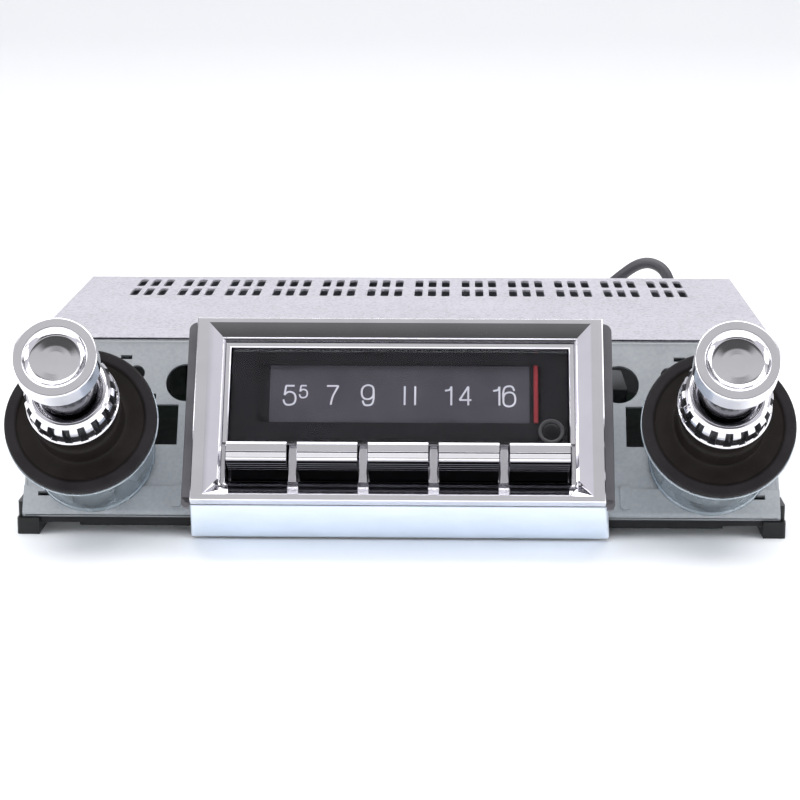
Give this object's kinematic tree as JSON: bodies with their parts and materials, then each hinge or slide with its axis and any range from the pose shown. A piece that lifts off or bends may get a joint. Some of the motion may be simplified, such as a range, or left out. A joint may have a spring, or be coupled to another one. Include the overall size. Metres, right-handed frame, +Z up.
{
  "type": "car radio",
  "caption": "Shaft-style car radio with a leaning front plate, chrome nose with dial, needle and push-buttons, and a dual knob on a deep spacer cup at each side.",
  "frame": {"origin": "on the surface the radio stands on, under the middle of its box without the pigtail cable", "axes": "+X to the right seen from the front, +Y to the back, +Z up; the front plate leans back 33.3 degrees and faces -Y and up"},
  "size_m": [0.2338, 0.2671, 0.0754],
  "materials": {
    "zinc_steel": "galvanised sheet, satin",
    "cover_steel": "galvanised sheet, fine speckle",
    "zinc_cup": "bluish zinc plate",
    "chrome": "polished",
    "satin_chrome": "satin",
    "dark_trim": "satin dark grey",
    "screw_steel": "bright zinc",
    "brass_bushing": "turned and threaded",
    "heat_sink_aluminium": "extruded",
    "black_plastic": "moulded",
    "disc_black": "satin moulded",
    "white_plastic": "moulded",
    "scale_grey": "printed dial strip",
    "pointer_red": "moulded",
    "sensor_dark": "dark filter plastic",
    "clear_lens": "clear acrylic",
    "circuit_board": "solder mask",
    "capacitor_sleeve": "shrink sleeve",
    "black_rubber": "moulded",
    "cable_rubber": "smooth jacket"
  },
  "bodies": {
    "chassis": {"amplifier_chip": "black_plastic", "antenna_socket": "screw_steel", "bottom_pan": "black_plastic", "button_switches": "black_plastic", "cable_gland": "black_rubber", "cable_plug": "black_rubber", "capacitors": "capacitor_sleeve", "chassis_tray": "zinc_steel", "control_bodies": "zinc_steel", "corner_feet": "black_rubber", "dial_housing": "black_plastic", "dial_lamps": "white_plastic", "dial_lens": "clear_lens", "dial_mask": "black_plastic", "dial_plate": "black_plastic", "dial_scale": "scale_grey", "display_board": "circuit_board", "face_panel": "satin_chrome", "front_plate": "zinc_steel", "heat_sink": "heat_sink_aluminium", "left_cup": "zinc_cup", "left_disc": "disc_black", "light_guide": "white_plastic", "main_board": "circuit_board", "nose_flange": "dark_trim", "nose_sleeve": "chrome", "plug_tip": "screw_steel", "pointer_rail": "screw_steel", "power_socket": "black_plastic", "right_cup": "zinc_cup", "right_disc": "disc_black", "screws": "screw_steel", "sensor_lens": "sensor_dark", "sensor_ring": "black_plastic", "shaft_bushings": "brass_bushing", "shaft_nuts": "screw_steel", "signal_cable": "cable_rubber", "stud_nut": "screw_steel", "support_stud": "screw_steel", "switch_board": "circuit_board", "top_cover": "cover_steel", "trim_bezel": "chrome", "tuner_module": "zinc_steel", "window_frame": "chrome"},
    "left_knob_body": {"left_knob": "chrome", "left_knob_shaft": "screw_steel"},
    "left_ring_body": {"left_ring_knob": "chrome", "left_ring_shaft": "screw_steel"},
    "right_knob_body": {"right_knob": "chrome", "right_knob_shaft": "screw_steel"},
    "right_ring_body": {"right_ring_knob": "chrome", "right_ring_shaft": "screw_steel"},
    "pointer_body": {"dial_pointer": "pointer_red", "pointer_carriage": "white_plastic"},
    "button_1_body": {"button_1": "chrome"},
    "button_2_body": {"button_2": "chrome"},
    "button_3_body": {"button_3": "chrome"},
    "button_4_body": {"button_4": "chrome"},
    "button_5_body": {"button_5": "chrome"}
  },
  "joints": [
    {"name": "left_knob_turn", "type": "hinge", "parent": "chassis", "child": "left_knob_body", "pos_m": [-0.0937, -0.04194, 0.022], "axis": [0, 0.8358, -0.549], "range_deg": [0, 300]},
    {"name": "left_ring_turn", "type": "hinge", "parent": "chassis", "child": "left_ring_body", "pos_m": [-0.0937, -0.04194, 0.022], "axis": [0, 0.8358, -0.549], "range_deg": [-135, 135]},
    {"name": "tuning_knob_turn", "type": "hinge", "parent": "chassis", "child": "right_knob_body", "pos_m": [0.0937, -0.04194, 0.022], "axis": [0, 0.8358, -0.549], "range_deg": [-1080, 0]},
    {"name": "right_ring_turn", "type": "hinge", "parent": "chassis", "child": "right_ring_body", "pos_m": [0.0937, -0.04194, 0.022], "axis": [0, 0.8358, -0.549], "range_deg": [-135, 135]},
    {"name": "pointer_travel", "type": "slide", "parent": "chassis", "child": "pointer_body", "axis": [1, 0, 0], "range_m": [-0.076, 0]},
    {"name": "button_1_press", "type": "slide", "parent": "chassis", "child": "button_1_body", "axis": [0, 0.8358, -0.549], "range_m": [0, 0.0025], "stiffness_N_per_m": 400, "springref_m": -0.0015},
    {"name": "button_2_press", "type": "slide", "parent": "chassis", "child": "button_2_body", "axis": [0, 0.8358, -0.549], "range_m": [0, 0.0025], "stiffness_N_per_m": 400, "springref_m": -0.0015},
    {"name": "button_3_press", "type": "slide", "parent": "chassis", "child": "button_3_body", "axis": [0, 0.8358, -0.549], "range_m": [0, 0.0025], "stiffness_N_per_m": 400, "springref_m": -0.0015},
    {"name": "button_4_press", "type": "slide", "parent": "chassis", "child": "button_4_body", "axis": [0, 0.8358, -0.549], "range_m": [0, 0.0025], "stiffness_N_per_m": 400, "springref_m": -0.0015},
    {"name": "button_5_press", "type": "slide", "parent": "chassis", "child": "button_5_body", "axis": [0, 0.8358, -0.549], "range_m": [0, 0.0025], "stiffness_N_per_m": 400, "springref_m": -0.0015}
  ],
  "couplings": [
    {"joint": "pointer_travel", "follows": "tuning_knob_turn", "m_per_rad": 0.00403}
  ]
}
